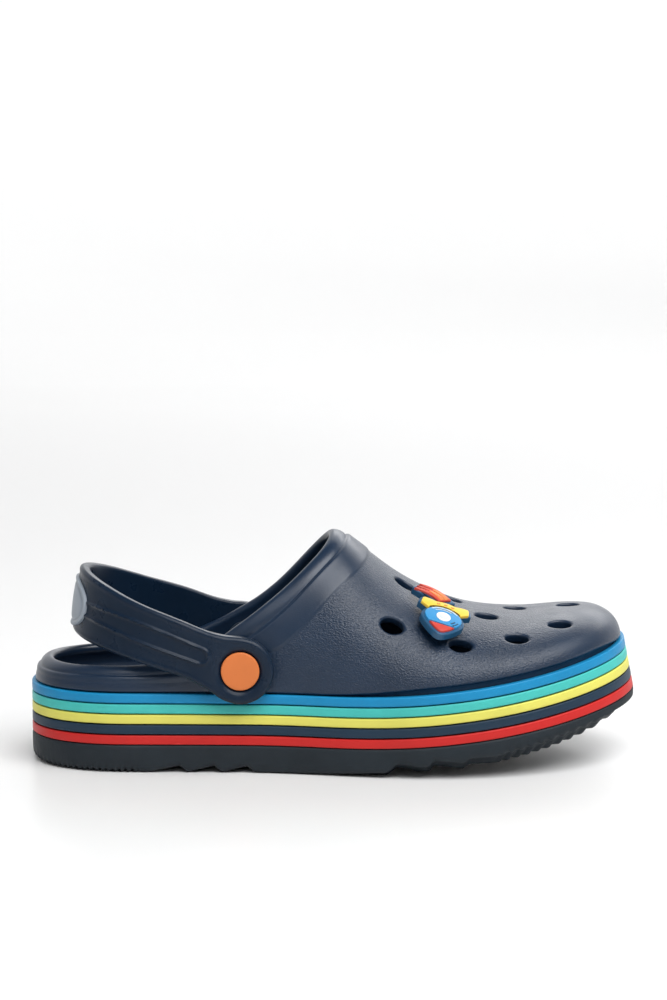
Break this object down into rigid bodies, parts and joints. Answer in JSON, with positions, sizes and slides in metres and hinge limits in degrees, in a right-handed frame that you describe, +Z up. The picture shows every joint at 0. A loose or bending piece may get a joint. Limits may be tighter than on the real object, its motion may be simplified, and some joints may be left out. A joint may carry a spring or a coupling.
{
  "type": "garden clog",
  "caption": "Child's moulded foam platform clog for the right foot, with a vented toe, a swivelling heel strap, striped foxing bands, a treaded outsole and a plug-in rocket charm.",
  "frame": {"origin": "bottom centre of the bounding box, on the floor", "axes": "+X towards the toe, +Y towards the inner side of the foot, +Z up"},
  "size_m": [0.2, 0.0841, 0.0756],
  "materials": {
    "clog_shell": "satin foam, finely grained",
    "midsole_core": "matte foam",
    "band_blue": "satin foam",
    "band_teal": "satin foam",
    "band_yellow": "satin foam",
    "band_navy": "satin foam",
    "band_red": "satin foam",
    "outsole": "matte rubber",
    "heel_strap": "satin foam",
    "strap_badge": "smooth pad",
    "rivet_button_lateral": "matte",
    "rivet_button_medial": "matte",
    "rivet_pin_lateral": "matte",
    "rivet_pin_medial": "matte",
    "charm_base": "soft glossy plastic",
    "charm_hull": "soft glossy plastic",
    "charm_nose": "soft glossy plastic",
    "charm_fins": "soft glossy plastic",
    "charm_flame": "soft glossy plastic",
    "charm_flame_core": "soft glossy plastic",
    "charm_window": "soft glossy plastic"
  },
  "bodies": {
    "clog": {"clog_shell": "clog_shell", "midsole_core": "midsole_core", "band_blue": "band_blue", "band_teal": "band_teal", "band_yellow": "band_yellow", "band_navy": "band_navy", "band_red": "band_red", "outsole": "outsole", "rivet_button_lateral": "rivet_button_lateral", "rivet_button_medial": "rivet_button_medial", "rivet_pin_lateral": "rivet_pin_lateral", "rivet_pin_medial": "rivet_pin_medial"},
    "strap": {"heel_strap": "heel_strap", "strap_badge": "strap_badge"},
    "charm": {"charm_base": "charm_base", "charm_hull": "charm_hull", "charm_nose": "charm_nose", "charm_fins": "charm_fins", "charm_flame": "charm_flame", "charm_flame_core": "charm_flame_core", "charm_window": "charm_window"}
  },
  "joints": [
    {"name": "strap_swivel", "type": "hinge", "parent": "clog", "child": "strap", "pos_m": [-0.03, 0, 0.0345], "axis": [0, 1, 0], "range_deg": [-6, 102]},
    {"name": "charm_spin", "type": "hinge", "parent": "clog", "child": "charm", "pos_m": [0.03324, -0.0238, 0.04831], "axis": [0.2757, -0.4056, 0.8715], "continuous": true}
  ]
}
